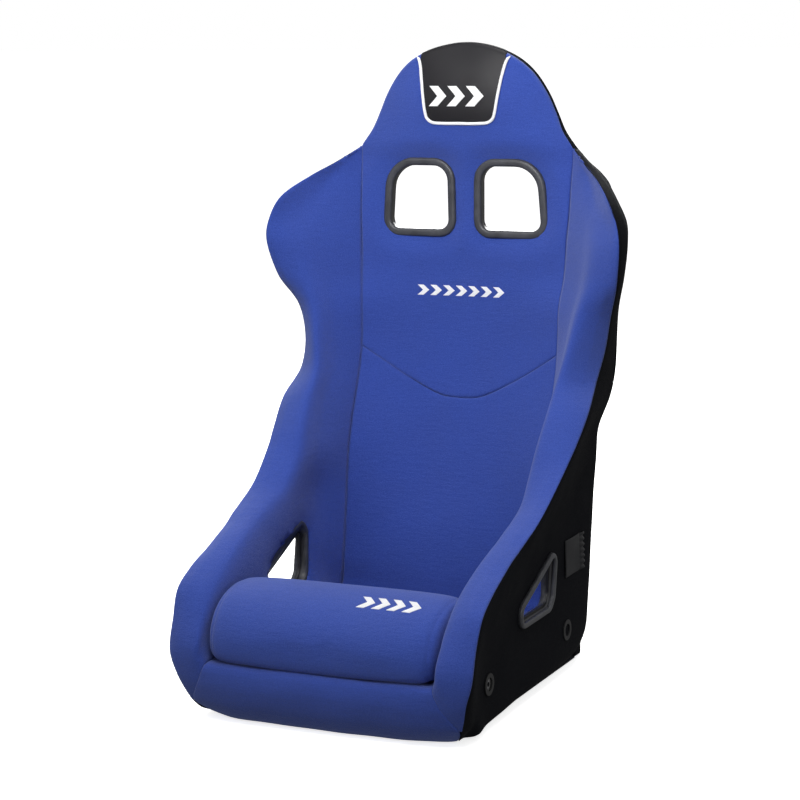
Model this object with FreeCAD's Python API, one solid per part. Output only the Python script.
# Racing seat: tube frame, foam pads, fabric covers, belt-slot bezels and a lift-off leg cushion.
# Millimetres. +Z up, the seat faces -Y, +X is the seat's left-hand side for whoever sits in it.
# The origin is the middle of the flat underside.
import FreeCAD, Part
import math
import os

Vector = FreeCAD.Vector

# ---- driving dimensions -------------------------------------------------------------
COVER = 2.0                 # fabric with its backing
GAP = 1.6                   # air between a cover and its foam
FORWARD = 11.5              # from the drawing's origin back to the middle of the seat
SEAM = 3.6                  # a side cover stops this far short of the edge seam
HOOP_R = 9.0                # main hoop
TUBE_R = 10.0               # base rails
THIN_R = 8.0                # cross tubes
WALL = 2.0                  # tube wall
PLATE_IN, PLATE_OUT = 193.0, 196.0      # faces of a side plate
SIDE = 200.0                # outer face of a side cover, low on the seat
REAR = 264.0                # outer face of the rear cover
REAR_FOAM = 256.0
PAN_LOW, PAN_TOP = 32.3, 34.3
BASE_TOP = 84.0
FOAM_OUT = 191.5            # outer face of the foam beside a side plate
MOUNT_REAR, MOUNT_FRONT, MOUNT_Z = 115.0, -175.0, 66.0
BOSS_R, THREAD_R = 11.0, 3.4            # M8 threaded boss
SHOULDER_Z, SHOULDER_X = 667.0, 71.0    # middle of a shoulder-belt slot
RAIL_X, RAIL_Z = 172.0, 24.0
PAN_HALF = 160.0
BASE_HALF = 166.0
BOSS_IN, BOSS_OUT = 172.0, 199.6
LIP_BACK = -236.0
SLOT_CORNER, LAP_CORNER = 14.0, 9.0
STRIP_X = (-110.0, 0.0, 110.0)
CUSHION_W, CUSHION_REAR, CUSHION_LOW = 158.0, -92.0, 89.0

# One row for each rib of the left bolster, from the neck, round the shoulder wing, the waist
# and the hip, to the front of the thigh: the seam to the middle panel, the crest, the outer
# edge seam, the fold in the side, and the rim where the side ends.
RIBS = [
    ((167, 242, 738), (171, 237, 737), (174, 231, 735), (176, 242, 735), (172, 258, 737)),
    ((166, 236, 700), (200, 213, 703), (226, 179, 700), (225, 205, 702), (214, 232, 704)),
    ((165, 232, 670), (217, 192, 670), (258, 143, 670), (258, 172, 668), (250, 202, 666)),
    ((162, 224, 610), (228, 158, 612), (275, 131, 610), (272, 166, 610), (264, 200, 610)),
    ((160, 217, 557), (222, 152, 559), (267, 147, 560), (262, 185, 560), (252, 218, 560)),
    ((156, 206, 515), (207, 149, 511), (245, 181, 510), (243, 210, 512), (237, 238, 514)),
    ((155, 203, 465), (197, 134, 462), (237, 183, 466), (235, 215, 466), (230, 248, 466)),
    ((155, 195, 425), (190, 119, 424), (233, 164, 424), (231, 208, 424), (226, 252, 424)),
    ((155, 180, 385), (188, 86, 386), (238, 106, 382), (229, 180, 384), (219, 252, 386)),
    ((155, 163, 345), (184, 55, 343), (236, 66, 344), (215, 165, 342), (203, 252, 345)),
    ((155, 148, 296), (180, 34, 308), (232, 39, 320), (SIDE, 165, 280), (182, 258, 296)),
    ((155, 139, 234), (180, -2, 271), (227, -16, 280), (SIDE, 112, 240), (181, 254, 215)),
    ((160, 135, 140), (180, -39, 255), (226, -62, 257), (SIDE, 46, 208), (181, 245, 110)),
    ((168, 70, 88), (180, -95, 237), (223, -112, 236), (SIDE, -16, 173), (181, 240, 32)),
    ((169, 15, 85), (178, -128, 226), (222, -140, 226), (SIDE, -52, 153), (181, 200, 6)),
    ((169, -40, 84), (176, -160, 213), (222, -167, 215), (SIDE, -90, 134), (182, 120, 3)),
    ((169, -130, 84), (174, -200, 193), (224, -211, 198), (SIDE, -134, 108), (182, 0, 3)),
    ((169, -200, 84), (174, -240, 168), (225, -247, 176), (SIDE, -182, 80), (182, -100, 3)),
    ((168, -250, 84), (175, -268, 140), (224, -266, 142), (SIDE, -204, 58), (182, -170, 3)),
    ((167, -284, 83), (176, -288, 103), (221, -275, 98), (SIDE + 1, -220, 38), (182, -212, 3)),
]
LAST_SIDE_RIB = ((163, -284, 60), (175, -284, 60), (203, -263, 46), (193, -245, 22), (180, -228, 3))
BACK_RIBS = 10              # ribs above the hip, whose foam reaches back to the rear cover

# Middle of the front surface, (y, z), from the top of the head to the foot of the back.
MIDLINE = [(239, 890), (232, 870), (222, 835), (218, 795), (224, 755), (236, 715), (238, 640),
           (230, 550), (222, 450), (207, 370), (176, 260), (150, 185), (140, 130), (138, 88)]
# Half width of the head, (x, z), from the neck up.
HEAD = [(163, 745), (150, 765), (138, 790), (124, 820), (102, 850), (78, 870), (40, 885), (0, 892)]
# Main hoop, left half, from the base up and round the head.
HOOP = [(176, 212, 35), (176, 226, 300), (206, 230, 440), (226, 205, 590), (215, 216, 662),
        (191, 238.5, 693), (166, 251, 717), (120, 250, 785), (90, 250, 833), (48, 250, 857)]
# Shoulder slot opening about its own middle, (x, z), for the left-hand slot.
SHOULDER = [(-45, -44), (48, -44), (44, 8), (33, 36), (16, 45), (-45, 45)]
# Lap slot opening, (y, z).
LAP = [(-66, 126), (42, 126), (50, 134), (50, 190), (44, 194), (-66, 133)]

# Outline of a side plate, (y, z), below the fold in the side.
SIDE_PLATE = [(-166, 32), (-184, 56), (-168, 76), (-131, 97), (-80, 116), (-8, 158), (52, 193),
              (114, 232), (152, 262), (182, 280), (200, 280), (196, 96), (140, 34)]
# Where the rear cover turns flat, beside each of the first fourteen ribs.
REAR_FLAT = [150, 175, 190, 190, 195, 195, 190, 185, 175, 165, 150, 150, 150, 150]
# Where the foam of each upper bolster rib ends, inside the rear cover.
FOAM_REAR = [0, 244, 242, 248, 248, 248, 250, 248, 238, 222]


def shape_of(points):
    """A closed flat or skew polygon."""
    return Part.makePolygon([Vector(*p) for p in points] + [Vector(*points[0])])


def facets(corners):
    """Two flat triangles between four corners, split along the shorter diagonal."""
    a, b, c, d = (Vector(*corner) for corner in corners)
    if a.distanceToPoint(c) <= b.distanceToPoint(d):
        triangles = ((a, b, c), (a, c, d))
    else:
        triangles = ((a, b, d), (b, c, d))
    faces = []
    for p, q, r in triangles:
        if q.sub(p).cross(r.sub(p)).Length > 1e-6:
            faces.append(Part.Face(Part.makePolygon([p, q, r, p])))
    return faces


def faceted_solid(faces):
    shell = Part.Shell(faces)
    shell.sewShape()
    solid = Part.Solid(shell)
    if solid.Volume < 0:
        solid.reverse()
    return solid


def loft(rows, caps):
    """A faceted solid through closed polygons with the same number of corners.
    caps lists the corner numbers of the four-sided pieces that close each end."""
    faces = []
    count = len(rows[0])
    for row, after in zip(rows, rows[1:]):
        for j in range(count):
            k = (j + 1) % count
            faces += facets((row[j], row[k], after[k], after[j]))
    for row in (rows[0], rows[-1]):
        for cap in caps:
            faces += facets(tuple(row[j] for j in cap))
    return faceted_solid(faces)


def mirrored(shape):
    return shape.mirror(Vector(0, 0, 0), Vector(1, 0, 0))


def between(a, b, t):
    return tuple(a[i] + (b[i] - a[i]) * t for i in range(3))


def plate(outline, low, high, axis, grow=0.0, corner=0.0):
    """A flat plate between two places on an axis. The outline is (y, z) for axis "x" and
    (x, z) for axis "y"; it can be grown, and its own corners rounded, by a radius."""
    wire = Part.makePolygon([Vector(a, b, 0) for a, b in outline + outline[:1]])
    if corner:
        wire = wire.makeOffset2D(-corner, 2).makeOffset2D(corner + grow, 0)
    elif grow:
        wire = wire.makeOffset2D(grow, 0)
    solid = Part.Face(wire).extrude(Vector(0, 0, high - low))
    if axis == "x":
        solid.transformShape(FreeCAD.Matrix(0, 0, 1, low, 1, 0, 0, 0, 0, 1, 0, 0))
    else:
        solid.transformShape(FreeCAD.Matrix(1, 0, 0, 0, 0, 0, -1, high, 0, 1, 0, 0))
    return solid


def both_sides(outline):
    """The whole closed outline from its left half, listed from the foot to the top."""
    return outline + [(-x, z) for x, z in reversed(outline) if x > 0]


def largest(shape):
    return max(shape.Solids, key=lambda solid: solid.Volume)


def sweep_tube(points, radius, bend, wall=WALL):
    """A bent tube: straight runs joined by tangent arcs."""
    points = [Vector(*p) for p in points]
    edges = []
    start = points[0]
    for before, corner, after in zip(points, points[1:], points[2:]):
        into = corner.sub(before).normalize()
        out = after.sub(corner).normalize()
        turn = into.getAngle(out)
        reach = min(bend * math.tan(turn / 2), 0.45 * before.distanceToPoint(corner),
                    0.45 * after.distanceToPoint(corner))
        first = corner.sub(into * reach)
        last = corner.add(out * reach)
        round_by = reach / math.tan(turn / 2)
        centre_way = out.sub(into).normalize()
        centre = corner.add(centre_way * (round_by / math.cos(turn / 2)))
        middle = centre.sub(centre_way * round_by)
        edges.append(Part.LineSegment(start, first).toShape())
        edges.append(Part.Arc(first, middle, last).toShape())
        start = last
    edges.append(Part.LineSegment(start, points[-1]).toShape())
    path = Part.Wire(edges)
    way = points[1].sub(points[0])

    def pipe(size):
        ring = Part.Wire([Part.makeCircle(size, points[0], way)])
        return path.makePipeShell([ring], True, True)

    if not wall:
        return pipe(radius)
    return pipe(radius).cut(pipe(radius - wall))


def straight_tube(start, end, radius, wall=WALL):
    way = Vector(*end).sub(Vector(*start))
    outer = Part.makeCylinder(radius, way.Length, Vector(*start), way)
    if not wall:
        return outer
    return outer.cut(Part.makeCylinder(radius - wall, way.Length, Vector(*start), way))


def offset_grid(grid, by):
    """Move a grid of points along its own normals, into the seat."""
    moved = []
    for i, row in enumerate(grid):
        up = grid[max(i - 1, 0)]
        down = grid[min(i + 1, len(grid) - 1)]
        new = []
        for j, point in enumerate(row):
            along = Vector(*down[j]).sub(Vector(*up[j]))
            across = Vector(*row[min(j + 1, len(row) - 1)]).sub(Vector(*row[max(j - 1, 0)]))
            normal = along.cross(across).normalize()
            new.append(tuple(Vector(*point).sub(normal * by)))
        moved.append(new)
    return moved


def skin(grid, thickness):
    """A thin panel that follows a grid of points, with its outer face on them."""
    inner = offset_grid(grid, thickness)
    last = 2 * len(grid[0]) - 1
    caps = [(j, j + 1, last - j - 1, last - j) for j in range(len(grid[0]) - 1)]
    return loft([outer + back[::-1] for outer, back in zip(grid, inner)], caps)


# ---- left bolster, which the right one mirrors ---------------------------------------
def bolster_grid():
    """Seam, wall, crest, shoulder and edge of each rib."""
    grid = []
    for i, (seam, crest, edge, _, _) in enumerate(RIBS):
        wall = between(seam, crest, 0.5)
        upright = BACK_RIBS < i < len(RIBS) - 3
        if upright:
            wall = between(seam, crest, 0.3)
        wall = (crest[0] + 1 if upright else wall[0] + 3, wall[1], wall[2])
        top = between(crest, edge, 0.5)
        bulge = Vector(*top).sub(Vector(*between(seam, edge, 0.5))).normalize() * 6
        grid.append([seam, wall, crest, tuple(Vector(*top).add(bulge)), edge])
    return grid


def side_grid(setback):
    """Edge, fold, lower side and rim of each rib."""
    grid = []
    for i, (_, _, edge, fold, rim) in enumerate(RIBS + [LAST_SIDE_RIB]):
        reach = Vector(*fold).sub(Vector(*edge))
        start = tuple(Vector(*edge).add(reach.normalize() * setback))
        low = between(fold, rim, 0.85)
        if i < BACK_RIBS:
            low = (low[0] + (fold[0] - low[0]) * 0.75, low[1], low[2])
        elif i < len(RIBS) - 1:
            low = (fold[0] - 1, low[1], low[2])
        grid.append([start, fold, low, rim])
    return grid


def bolster_foam():
    rows = []
    inner = offset_grid(bolster_grid(), COVER + GAP)
    for i, (row, rib) in enumerate(zip(inner, RIBS)):
        seam, _, _, fold, rim = rib
        row[-1] = between(between(row[-1], row[-2], 0.5), fold, 0.08)
        if i in (0, 1, len(RIBS) - 1):
            continue
        if i < BACK_RIBS:
            narrow = max(0, i - 7)
            outer = (rim[0] - 12 - narrow * 4, rim[1] - 9 - narrow * 8, rim[2])
            back = (seam[0] + 6, FOAM_REAR[i], seam[2])
        else:
            outer = (FOAM_OUT, min(fold[1], seam[1] + 60), max(fold[2], BASE_TOP + 3))
            back = (FOAM_OUT - 4, seam[1] + 6, max(seam[2], BASE_TOP + 3))
        rows.append(row + [outer, back])
    return loft(rows, [(6, 0, 1, 2), (6, 2, 3, 4), (6, 4, 5, 5)])


# ---- the other soft parts --------------------------------------------------------------
def front_slice(shift, thickness, outline, corner=0.0, grow=0.0):
    """A panel that follows the middle line of the front, inside an (x, z) outline."""
    front = [(y + shift, z) for y, z in MIDLINE]
    back = [(y + shift + thickness, z) for y, z in reversed(MIDLINE)]
    profile = plate(front + back, -180, 180, "x")
    return profile.common(plate(outline, 110, 290, "y", grow, corner))


def foam_block(low, high, depth, outline):
    """A pad behind the front covers, cut to a height range and a thickness or a rear plane."""
    front = [(y + COVER + GAP, z) for y, z in MIDLINE]
    if depth:
        back = [(y + depth, z) for y, z in reversed(front)]
    else:
        back = [(REAR_FOAM, front[-1][1]), (REAR_FOAM, front[0][1])]
    block = plate(front + back, -180, 180, "x")
    block = block.common(plate(outline, 100, 290, "y"))
    return block.common(plate([(-200, low), (200, low), (200, high), (-200, high)], 100, 290, "y"))


def lip_grid():
    """Four profile points of the front lip at each place across the seat."""
    middle = [(-286, 82), (-292, 60), (-281, 28), (-251, 3)]
    inner = [(-283, 77), (-286, 60), (-276, 28), (-241, 3)]
    half = [[(0, y, z) for y, z in middle], [(110, y - 1, z) for y, z in inner],
            [(165, y, z) for y, z in inner],
            [(176, -285, 90), (176, -283, 64), (172, -274, 30), (168, -237, 3)],
            [(218, -274, 90), (207, -268, 60), (197, -259, 30), (177, -229, 3)]]
    return [[(-x, y, z) for x, y, z in column] for column in half[:0:-1]] + half


def lip_foam():
    rows = []
    for column in offset_grid(lip_grid(), -(COVER + 4)):
        side = max(-192.0, min(192.0, column[0][0]))
        back = LIP_BACK if abs(side) < 165 else LIP_BACK - 26
        foot = (side * 0.9, max(back, column[3][1] + 4), 8)
        rows.append(column[:3] + [(column[3][0], column[3][1] + 2, 8), foot,
                                  (side, back, column[0][2] - 5)])
    return loft(rows, [(5, 0, 1, 2), (5, 2, 3, 4)])


def cushion(shrink):
    """The leg cushion's rolled form: a profile that narrows towards both ends."""
    profile = [(CUSHION_REAR, 96), (CUSHION_REAR - 4, CUSHION_LOW), (-280, CUSHION_LOW),
               (-290, 100), (-288, 124), (-270, 152), (-235, 174), (-190, 181), (-150, 172),
               (-115, 142)]
    middle_y, middle_z = -190, 128
    rows = []
    for x, scale in ((-1, 0.72), (-0.93, 0.9), (-0.75, 1.0), (0, 1.02),
                     (0.75, 1.0), (0.93, 0.9), (1, 0.72)):
        row = []
        for y, z in profile:
            out = Vector(0, y - middle_y, z - middle_z)
            out = out.multiply(scale * (1 - shrink / out.Length))
            low = max(out.z, CUSHION_LOW + shrink - middle_z)
            row.append((x * (CUSHION_W - shrink), middle_y + out.y, middle_z + low))
        rows.append(row)
    return loft(rows, [(0, 1, 2, 3), (0, 3, 4, 5), (0, 5, 6, 7), (0, 7, 8, 9)])


def rear_grid():
    """Rim, flat part and middle of the rear cover at each height, from the top down."""
    grid = []
    for half, z in reversed(HEAD[:-1]):
        grid.append([(half - 3, 261, z), (half * 0.8, REAR, z)])
    grid.append([(161, 261, 741), (140, REAR, 741)])
    for i, (_, _, _, _, rim) in enumerate(RIBS[:14]):
        flat = REAR if i < BACK_RIBS else min(REAR, rim[1] + 5)
        grid.append([(rim[0] - 3, rim[1] + 3, rim[2]), (REAR_FLAT[i], flat, rim[2])])
    grid.append([(162, 238, 8), (140, 241, 8)])
    return [[(-edge[0], edge[1], edge[2]), (-flat[0], flat[1], flat[2]), flat, edge]
            for edge, flat in grid]


def rounded(solid, direction, radius):
    """Fillet the edges of a prism that run along one direction."""
    along = []
    for edge in solid.Edges:
        step = edge.Vertexes[-1].Point.sub(edge.Vertexes[0].Point)
        if step.Length > 0 and abs(step.normalize().dot(direction)) > 0.99:
            along.append(edge)
    return solid.makeFillet(radius, along)


def slots_cut(shape, outline, grow, axis):
    """Take a slot out of a shape along X, or the pair of slots along Y."""
    if axis == "y":
        for side in (1, -1):
            hole = [(side * (SHOULDER_X + x), SHOULDER_Z + z) for x, z in outline]
            shape = shape.cut(plate(hole, 180, 300, "y", grow, SLOT_CORNER))
        return shape
    return shape.cut(plate(outline, 140, 240, "x", grow, LAP_CORNER))


def shoulder_ring(low, high, outer, inner):
    outline = [(SHOULDER_X + x, SHOULDER_Z + z) for x, z in SHOULDER]
    ring = plate(outline, low, high, "y", outer, SLOT_CORNER)
    return ring.cut(plate(outline, low - 1, high + 1, "y", inner, SLOT_CORNER))


def lap_ring(low, high, outer, inner):
    ring = plate(LAP, low, high, "x", outer, LAP_CORNER)
    return ring.cut(plate(LAP, low - 1, high + 1, "x", inner, LAP_CORNER))


# ---- build --------------------------------------------------------------------------
parts = {}


def add(name, shape):
    parts[name] = shape


def add_pair(name, left):
    parts[name + "_left"] = left
    parts[name + "_right"] = mirrored(left)


def tube_set():
    """Every frame tube, with a size to grow it by for the channels in the foam."""
    hoop = HOOP + [(-x, y, z) for x, y, z in reversed(HOOP)]
    shoulder = [(214, 209, 590), (168, 244, 590), (-168, 244, 590), (-214, 209, 590)]

    def build(grow, wall):
        return {
            "perimeter_hoop_tube": sweep_tube(hoop, HOOP_R + grow, 60, wall),
            "shoulder_cross_tube": sweep_tube(shoulder, THIN_R + grow, 30, wall),
            "lumbar_cross_tube": straight_tube((-171, 238, 330), (171, 238, 330),
                                               THIN_R + grow, wall),
        }
    tubes = build(0, WALL)
    channels = build(1.2, 0)
    tubes["shoulder_cross_tube"] = tubes["shoulder_cross_tube"].cut(
        sweep_tube(hoop, HOOP_R + 0.4, 60, 0))
    return tubes, channels


def frame_parts(channels_out):
    tubes, channels = tube_set()
    for name, shape in tubes.items():
        add(name, shape)
    channels_out.update(channels)
    add_pair("base_rail", straight_tube((RAIL_X, -222, RAIL_Z), (RAIL_X, 194, RAIL_Z), TUBE_R))
    end = RAIL_X - TUBE_R - 0.5
    add("front_cross_tube", straight_tube((-end, -208, RAIL_Z), (end, -208, RAIL_Z), THIN_R))
    add("rear_cross_tube", straight_tube((-end, 186, RAIL_Z), (end, 186, RAIL_Z), THIN_R))
    side = plate(SIDE_PLATE, PLATE_IN, PLATE_OUT, "x", 0, 8)
    side = slots_cut(side, LAP, 3.5, "x")
    for y in (MOUNT_REAR, MOUNT_FRONT):
        side = side.cut(Part.makeCylinder(BOSS_R + 0.3, 20, Vector(185, y, MOUNT_Z), Vector(1, 0, 0)))
    add_pair("side_plate", side)
    bosses = []
    for y in (MOUNT_REAR, MOUNT_FRONT):
        for way in (1, -1):
            start = Vector(way * BOSS_IN, y, MOUNT_Z)
            boss = Part.makeCylinder(BOSS_R, BOSS_OUT - BOSS_IN, start, Vector(way, 0, 0))
            face = Vector(way * BOSS_OUT, y, MOUNT_Z)
            bore = Part.makeCylinder(THREAD_R, BOSS_OUT - BOSS_IN - 4, face, Vector(-way, 0, 0))
            bosses.append(boss.cut(bore))
    add("mount_bosses", Part.makeCompound(bosses))
    pan = Part.makeBox(2 * PAN_HALF, 392, PAN_TOP - PAN_LOW, Vector(-PAN_HALF, -218, PAN_LOW))
    add("seat_pan", rounded(pan, Vector(0, 0, 1), 20))
    straps = [Part.makeBox(330, 1.5, 38, Vector(-165, 239, z)) for z in (100, 160, 220, 280)]
    add("back_webbing", Part.makeCompound(straps))


def soft_parts(channels):
    upper = [(0, 375), (30, 378), (80, 401), (152, 447), (153, 530), (157, 600), (161, 660),
             (163, 735)]
    upper = both_sides(upper + HEAD[1:])
    lower = both_sides([(151, 90), (151, 441), (80, 397), (30, 374), (0, 371)])
    add("front_cover_upper", slots_cut(front_slice(0, COVER, upper), SHOULDER, 3.4, "y"))
    add("front_cover_lower", front_slice(0, COVER, lower))
    badge = both_sides([(52, 778), (67, 872), (40, 881), (0, 886)])
    add("head_badge_panel", front_slice(-2.2, 1.6, badge, 8.0))
    piping = front_slice(-3.4, 2.8, badge, 8.0, 3.4).cut(
        plate(badge, 110, 290, "y", 0.4, 8.0))
    add("head_piping", piping)

    inner = both_sides([(149, 90), (149, 530), (154, 600), (157, 660), (158, 742)])
    head = both_sides([(x - 6 if x > 6 else x, z - 5) for x, z in HEAD])
    foams = {
        "head_foam": foam_block(750, 886, 0, head),
        "back_foam": foam_block(400, 742, 0, inner),
        "lumbar_foam": foam_block(92, 397, 36, inner),
    }
    foams["back_foam"] = slots_cut(foams["back_foam"], SHOULDER, 3.6, "y")
    bolster = bolster_foam()
    for channel in channels.values():
        for name in foams:
            foams[name] = largest(foams[name].cut(channel))
        bolster = largest(bolster.cut(channel))
    bolster = slots_cut(bolster, LAP, 4.5, "x")
    for name, shape in foams.items():
        add(name, shape)
    add_pair("bolster_foam", bolster)
    add_pair("bolster_cover", slots_cut(skin(bolster_grid(), COVER), LAP, 3.4, "x"))

    side = slots_cut(skin(side_grid(SEAM), COVER), LAP, 3.4, "x")
    for y in (MOUNT_REAR, MOUNT_FRONT):
        start = Vector(180, y, MOUNT_Z)
        side = side.cut(Part.makeCylinder(BOSS_R + 0.6, 30, start, Vector(1, 0, 0)))
    add_pair("side_cover", side)

    rim = both_sides([(161, 742)] + HEAD[1:-1] + [(0, 890)])
    band = plate(rim, 242.5, 257.0, "y")
    add("head_band", band.cut(plate(rim, 200, 300, "y", -COVER)).cut(
        Part.makeBox(400, 60, 20, Vector(-200, 230, 729))))
    rear = skin([row[::-1] for row in rear_grid()], COVER)
    add("rear_cover", slots_cut(rear, SHOULDER, 3.4, "y"))

    add("base_foam", Part.makeBox(2 * PAN_HALF, 360, BASE_TOP - COVER - GAP - PAN_TOP - GAP,
                                  Vector(-PAN_HALF, LIP_BACK + 3, PAN_TOP + GAP)))
    add("base_cover", Part.makeBox(2 * BASE_HALF, 415, COVER,
                                   Vector(-BASE_HALF, -281, BASE_TOP - COVER)))
    add("lip_foam", lip_foam())
    add("lip_cover", skin(lip_grid(), -COVER))
    underside = [(-176, -224), (-158, -236), (0, -246), (158, -236), (176, -224), (176, 140),
                 (174, 196), (158, 228), (132, 236), (-132, 236), (-158, 228), (-174, 196),
                 (-176, 140)]
    base = Part.Face(shape_of([(x, y, 0) for x, y in underside])).extrude(Vector(0, 0, COVER))
    add("underside_cover", base)


def trim_parts():
    flange = shoulder_ring(227.5, 232.5, 13, 0)
    sleeve = shoulder_ring(232.5, 267, 2.8, 0)
    add_pair("shoulder_bezel_front", flange.fuse(sleeve).removeSplitter())
    add_pair("shoulder_bezel_rear", shoulder_ring(264.6, 269, 12, 3.1))
    flange = lap_ring(168.5, 173, 13, 0)
    sleeve = lap_ring(173, 203, 2.8, 0)
    add_pair("lap_bezel_inner", flange.fuse(sleeve).removeSplitter())
    add_pair("lap_bezel_outer", lap_ring(SIDE + 0.6, SIDE + 5, 8, 3.1))
    eyelets = []
    for y in (MOUNT_REAR, MOUNT_FRONT):
        for way in (1, -1):
            start = Vector(way * (SIDE + 0.4), y, MOUNT_Z)
            ring = Part.makeCylinder(BOSS_R + 4, 1.4, start, Vector(way, 0, 0))
            eyelets.append(ring.cut(Part.makeCylinder(BOSS_R - 2, 1.4, start, Vector(way, 0, 0))))
    add("mount_eyelets", Part.makeCompound(eyelets))
    add("side_label", Part.makeBox(1.2, 68, 54, Vector(SIDE + 0.4, 112, 142)))


def cushion_parts():
    outer = cushion(0)
    add("leg_cushion_cover", outer.cut(cushion(COVER)))
    add("leg_cushion_foam", cushion(COVER + GAP))
    low = CUSHION_LOW - 2.2
    add("cushion_loop_strips", Part.makeCompound(
        [Part.makeBox(25, 150, 1.8, Vector(x - 12.5, -265, low)) for x in STRIP_X]))
    add("base_hook_strips", Part.makeCompound(
        [Part.makeBox(25, 150, 1.8, Vector(x - 12.5, -265, BASE_TOP + 0.4)) for x in STRIP_X]))


def main():
    os.makedirs("parts", exist_ok=True)
    channels = {}
    frame_parts(channels)
    soft_parts(channels)
    trim_parts()
    cushion_parts()
    for name, shape in parts.items():
        shape.translate(Vector(0, FORWARD, 0))
        shape.exportStep("parts/" + name + ".step")


main()
